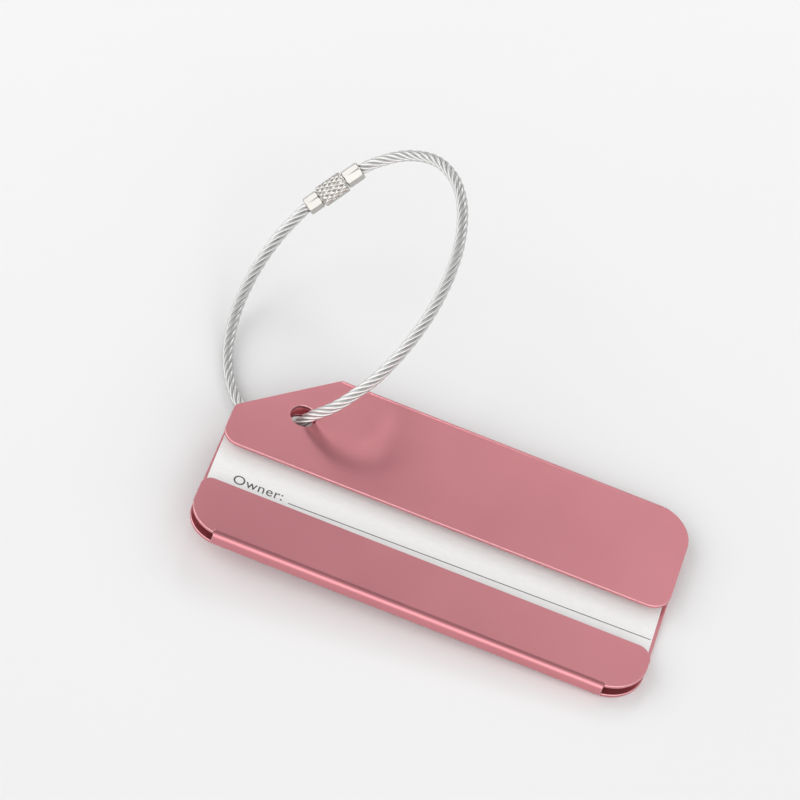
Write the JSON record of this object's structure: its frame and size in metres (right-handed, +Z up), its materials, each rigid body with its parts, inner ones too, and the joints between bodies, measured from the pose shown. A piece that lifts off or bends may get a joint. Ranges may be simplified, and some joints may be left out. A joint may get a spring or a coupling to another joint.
{
  "type": "luggage tag",
  "caption": "Folded sheet-metal name tag case with a slide-in card, hung on a wire-rope loop that closes with a knurled screw clasp.",
  "frame": {"origin": "centre of the case's footprint, on the table it lies on, with the case's left end raised 2.85 degrees by the cable under it", "axes": "+X along the case from the hole's end to the far end, +Y across it from the narrow front band to the wide one, +Z up out of the front"},
  "size_m": [0.0876, 0.0826, 0.0281],
  "materials": {
    "anodised_case": "satin dusty-rose anodising, bare bright edges at the cuts",
    "name_card": "smooth matt white card with a printed writing line",
    "wire_rope": "bright twisted stainless wire rope, uncoated",
    "clasp_metal": "bright nickel plate"
  },
  "bodies": {
    "case": {"case": "anodised_case"},
    "card": {"name_card": "name_card"},
    "loop": {"cable": "wire_rope", "stud_ferrule": "clasp_metal", "swivel_ferrule": "clasp_metal"},
    "barrel": {"knurled_barrel": "clasp_metal"}
  },
  "joints": [
    {"name": "card_slide", "type": "slide", "parent": "case", "child": "card", "axis": [0.9988, 0, -0.0497], "range_m": [0, 0.08]},
    {"name": "loop_swing", "type": "hinge", "parent": "case", "child": "loop", "pos_m": [-0.02857, 0.01005, 0.00491], "axis": [0.0497, 0, 0.9988], "range_deg": [-80, 90]},
    {"name": "barrel_spin", "type": "hinge", "parent": "loop", "child": "barrel", "pos_m": [-0.03999, 0.05306, 0.01334], "axis": [0.5801, 0.6151, 0.5341], "continuous": true}
  ]
}
